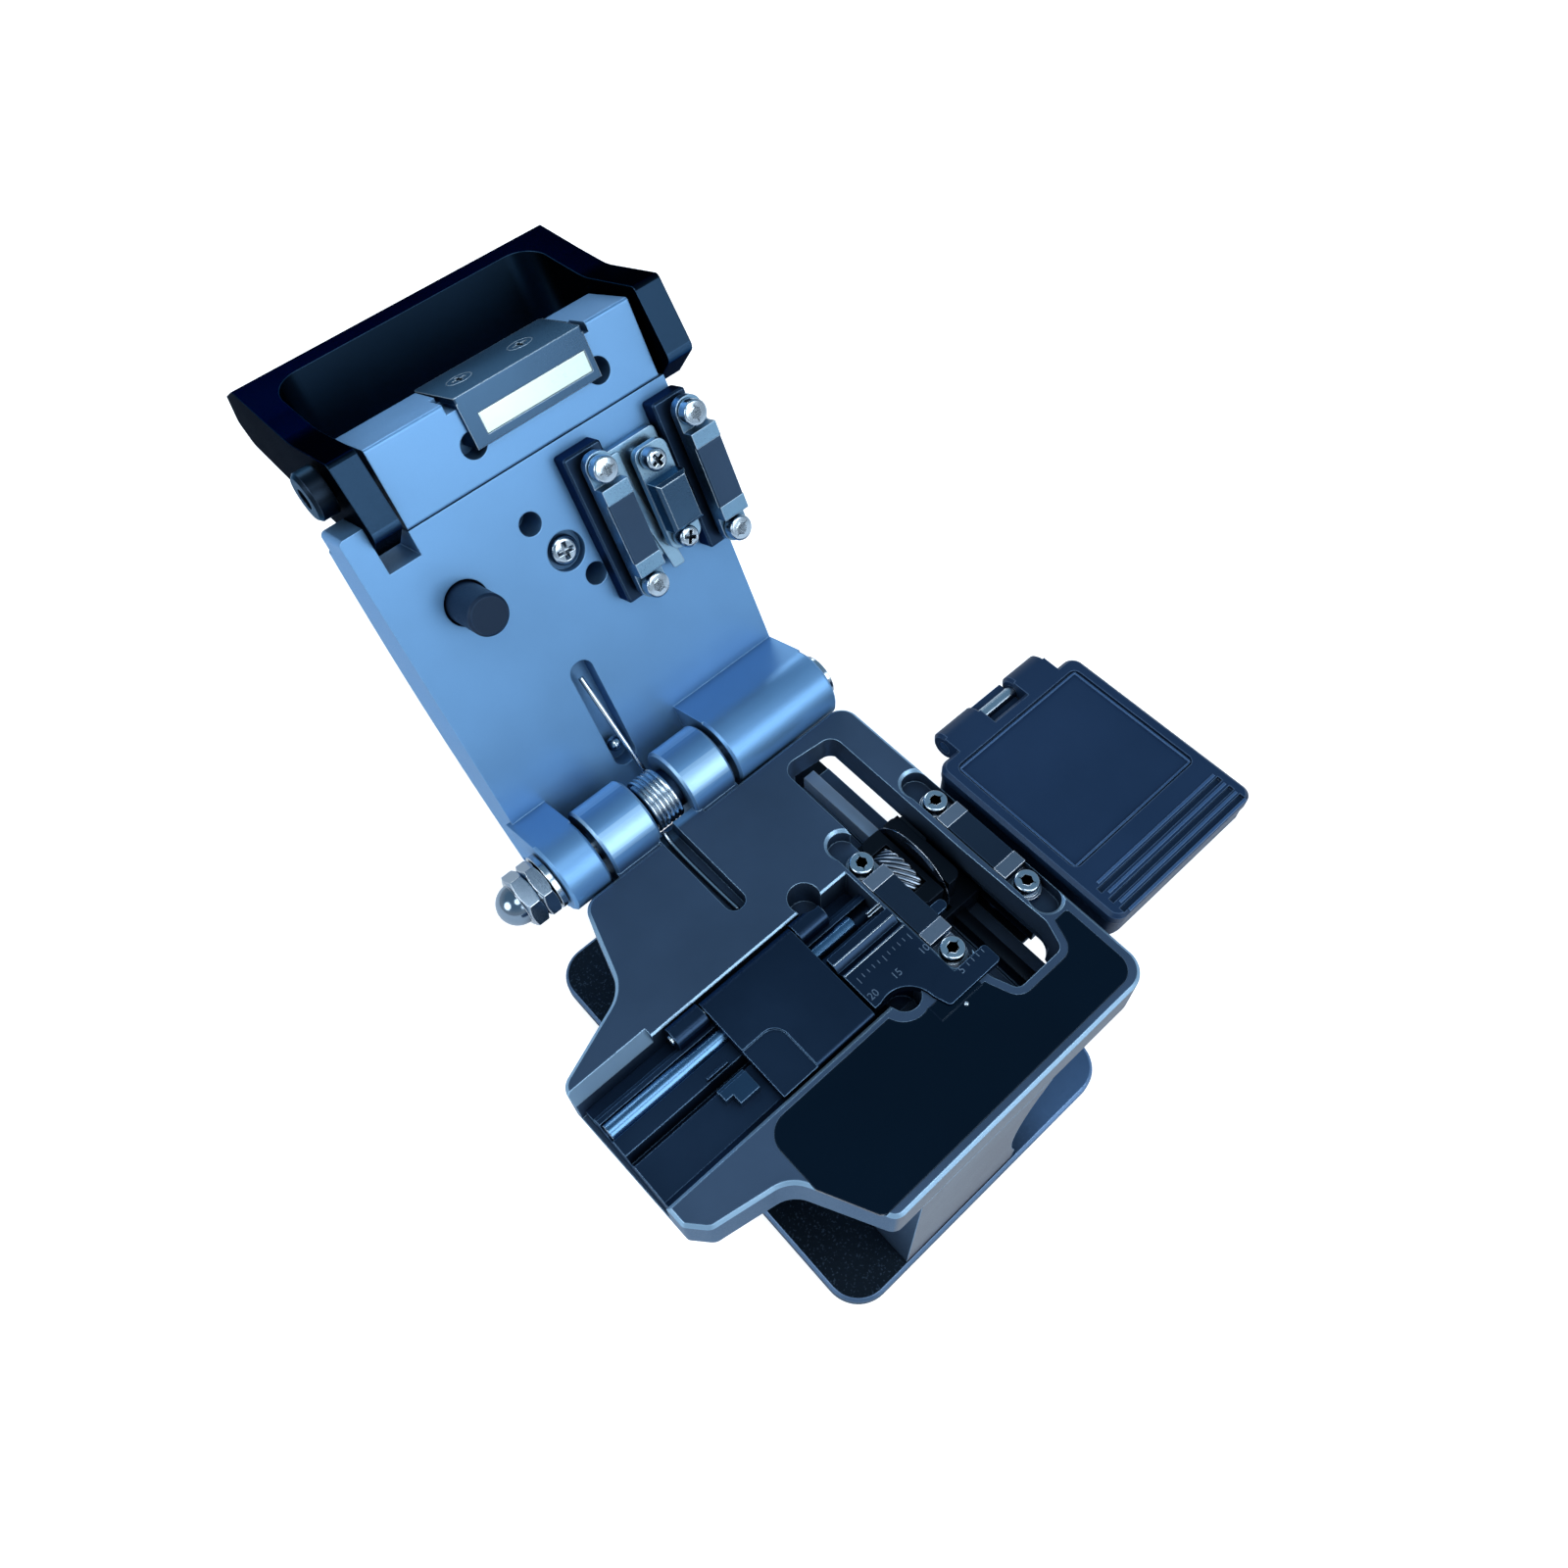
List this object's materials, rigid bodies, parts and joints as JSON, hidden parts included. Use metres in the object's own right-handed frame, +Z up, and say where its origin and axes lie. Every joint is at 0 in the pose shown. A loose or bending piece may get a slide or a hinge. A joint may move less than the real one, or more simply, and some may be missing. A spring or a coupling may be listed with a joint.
{
  "type": "fibre cleaver",
  "caption": "Bench fibre cleaver with a hinged clamping lid on a pillar and deck, a sliding blade carriage, a fibre flap, a bail handle and a scrap box.",
  "frame": {"origin": "centre of the base pad's underside, where the tool stands on the bench", "axes": "+Z up; +X along the fibre slot towards the scrap box; +Y from the user's side back to the lid's hinge"},
  "size_m": [0.1057, 0.1397, 0.1056],
  "materials": {
    "slate_anodised": "satin bead-blasted dark slate blue anodising",
    "lid_anodised": "satin bead-blasted blue grey anodising",
    "black_anodised": "satin black anodising",
    "handle_black": "satin black",
    "speckled_black": "fine speckled black powder coat",
    "panel_gloss": "glossy navy black sheet",
    "box_plastic": "textured navy black moulding",
    "black_rubber": "matte rubber",
    "pad_rubber": "smooth dark blue grey rubber",
    "bright_steel": "bright plated steel",
    "grey_steel": "grey machined steel",
    "zinc_steel": "zinc plated steel",
    "magnet_nickel": "nickel plated magnet",
    "black_screw": "black oxide screw",
    "ground_steel": "ground and polished blade steel",
    "knurled_grey": "knurled dark aluminium"
  },
  "bodies": {
    "base": {"base_pad": "black_rubber", "base_plate": "speckled_black", "base_screws": "bright_steel", "body_block": "slate_anodised", "deck_panel": "panel_gloss", "fibre_guide": "black_anodised", "guide_rod": "black_anodised", "flap_lugs": "black_anodised", "flap_pin": "bright_steel", "fibre_stop": "black_anodised", "scale_plate": "black_anodised", "lower_clamp_left": "grey_steel", "lower_clamp_right": "grey_steel", "lower_pads": "pad_rubber", "lower_clamp_screws": "bright_steel", "clamp_seats": "bright_steel", "fibre_rest": "black_anodised", "blade_rail": "grey_steel", "rail_screws": "bright_steel", "scrap_box": "box_plastic", "box_bracket": "black_anodised", "box_screws": "bright_steel", "scrap_lid_pin": "bright_steel", "hinge_pin": "bright_steel", "hinge_washer": "bright_steel", "hinge_nuts": "bright_steel", "spring_sleeve": "black_anodised"},
    "flap": {"fixture_flap": "black_anodised"},
    "carriage": {"blade_carriage": "black_anodised"},
    "blade": {"blade_wheel": "ground_steel", "blade_dial": "knurled_grey", "blade_shaft": "bright_steel"},
    "box_lid": {"scrap_box_lid": "box_plastic"},
    "lid": {"lid_plate": "lid_anodised", "lid_cover": "lid_anodised", "cover_screws": "black_screw", "front_bar": "lid_anodised", "magnet_holder": "grey_steel", "magnet": "magnet_nickel", "magnet_screws": "grey_steel", "lid_screw": "bright_steel", "upper_block_left": "black_anodised", "upper_block_right": "black_anodised", "upper_clamp_screws": "bright_steel", "press_springs": "bright_steel", "anvil_bracket": "zinc_steel", "anvil_leaf": "zinc_steel", "anvil_screws": "bright_steel", "torsion_spring": "bright_steel", "pivot_screws": "black_screw"},
    "left_clamp": {"upper_clamp_left": "grey_steel", "upper_pad_left": "pad_rubber"},
    "right_clamp": {"upper_clamp_right": "grey_steel", "upper_pad_right": "pad_rubber"},
    "anvil": {"anvil_holder": "zinc_steel", "anvil_pad": "grey_steel"},
    "plunger": {"lid_plunger": "black_rubber"},
    "handle": {"handle": "handle_black"}
  },
  "joints": [
    {"name": "lid_hinge", "type": "hinge", "parent": "base", "child": "lid", "pos_m": [0, 0.0304, 0.0502], "axis": [1, 0, 0], "range_deg": [0, 116]},
    {"name": "handle_pivot", "type": "hinge", "parent": "lid", "child": "handle", "pos_m": [0.0043, 0.07013, 0.09858], "axis": [1, 0, 0], "range_deg": [-40, 90]},
    {"name": "flap_hinge", "type": "hinge", "parent": "base", "child": "flap", "pos_m": [-0.0147, -0.0007, 0.0489], "axis": [1, 0, 0], "range_deg": [-100, 0]},
    {"name": "box_lid_hinge", "type": "hinge", "parent": "base", "child": "box_lid", "pos_m": [0.0454, 0.0076, 0.0477], "axis": [1, 0, 0], "range_deg": [-100, 0]},
    {"name": "blade_slide", "type": "slide", "parent": "base", "child": "carriage", "axis": [0, 1, 0], "range_m": [-0.013, 0.013]},
    {"name": "blade_index", "type": "hinge", "parent": "carriage", "child": "blade", "pos_m": [0.01685, -0.0025, 0.0423], "axis": [1, 0, 0], "continuous": true},
    {"name": "left_clamp_press", "type": "slide", "parent": "lid", "child": "left_clamp", "axis": [0, 0.8988, -0.4384], "range_m": [0, 0.001], "stiffness_N_per_m": 600},
    {"name": "right_clamp_press", "type": "slide", "parent": "lid", "child": "right_clamp", "axis": [0, 0.8988, -0.4384], "range_m": [0, 0.001], "stiffness_N_per_m": 600},
    {"name": "anvil_press", "type": "slide", "parent": "lid", "child": "anvil", "axis": [0, 0.8988, -0.4384], "range_m": [0, 0.001], "stiffness_N_per_m": 600},
    {"name": "plunger_press", "type": "slide", "parent": "lid", "child": "plunger", "axis": [0, 0.8988, -0.4384], "range_m": [0, 0.0015], "stiffness_N_per_m": 400}
  ]
}
